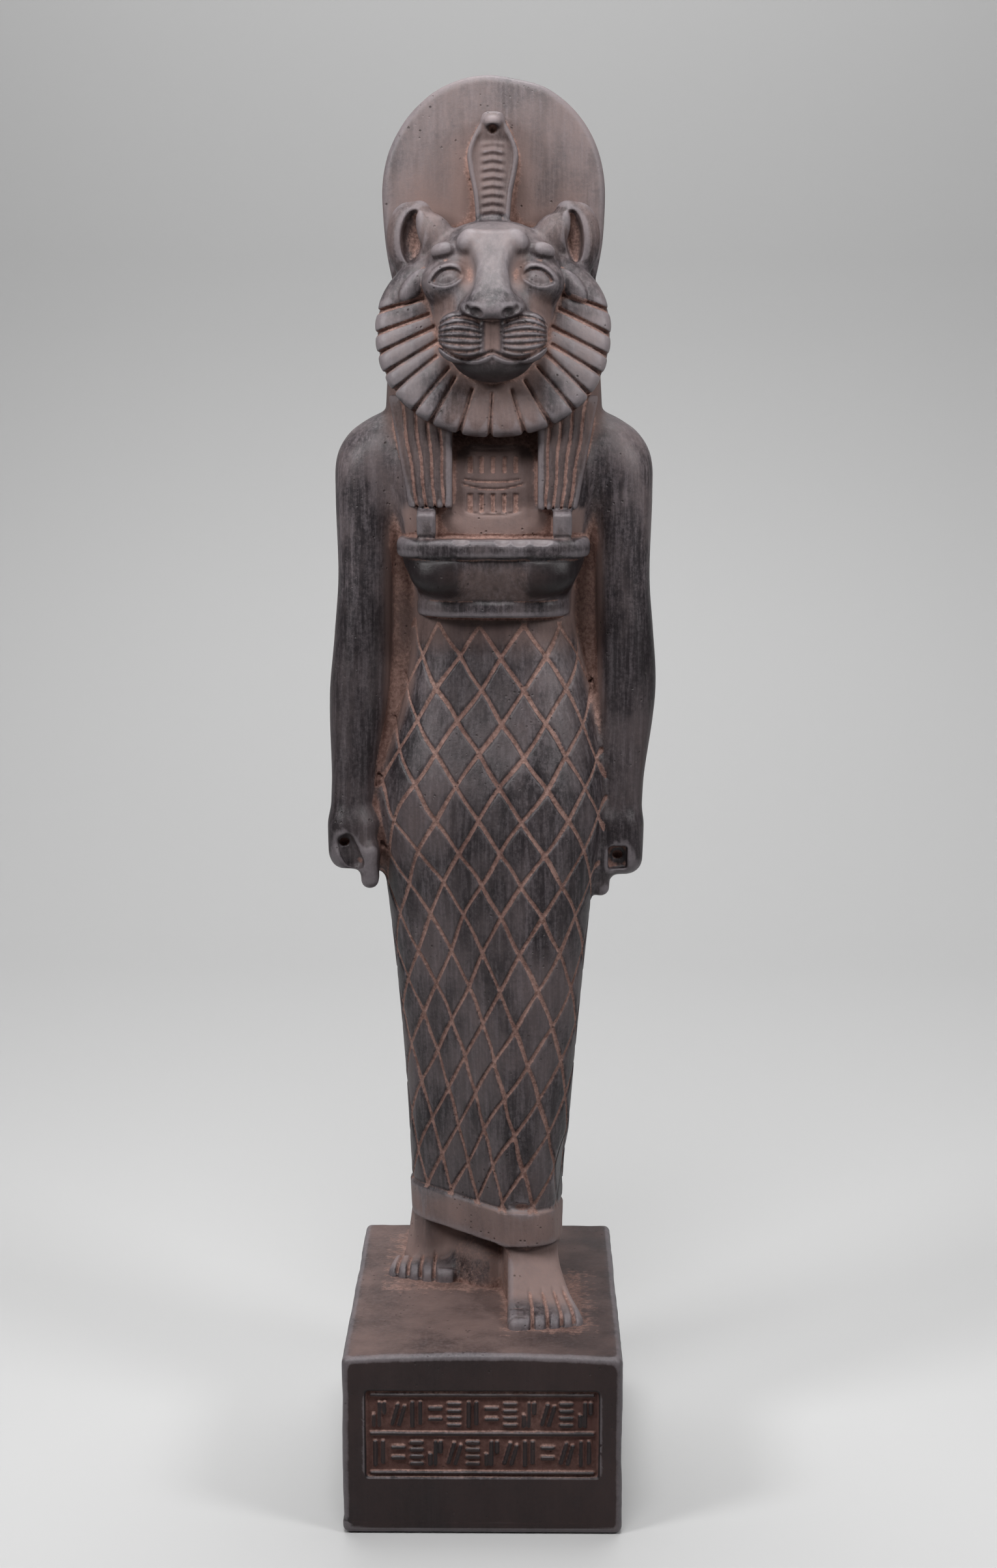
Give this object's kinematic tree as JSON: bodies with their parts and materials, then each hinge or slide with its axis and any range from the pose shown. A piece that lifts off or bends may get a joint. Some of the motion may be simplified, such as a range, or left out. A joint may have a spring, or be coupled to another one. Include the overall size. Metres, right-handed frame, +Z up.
{
  "type": "sekhmet statue",
  "caption": "Lioness-headed goddess striding on a rectangular plinth, sun disc and cobra on the head, net dress, cast in one piece.",
  "frame": {"origin": "middle of the plinth's underside", "axes": "+Z up the figure, +X to the viewer's right, the figure faces -Y"},
  "size_m": [0.0832, 0.098, 0.351],
  "materials": {
    "stone": "satin, rubbed, with reddish dust in the hollows"
  },
  "bodies": {
    "root": {"statue": "stone"}
  },
  "joints": []
}
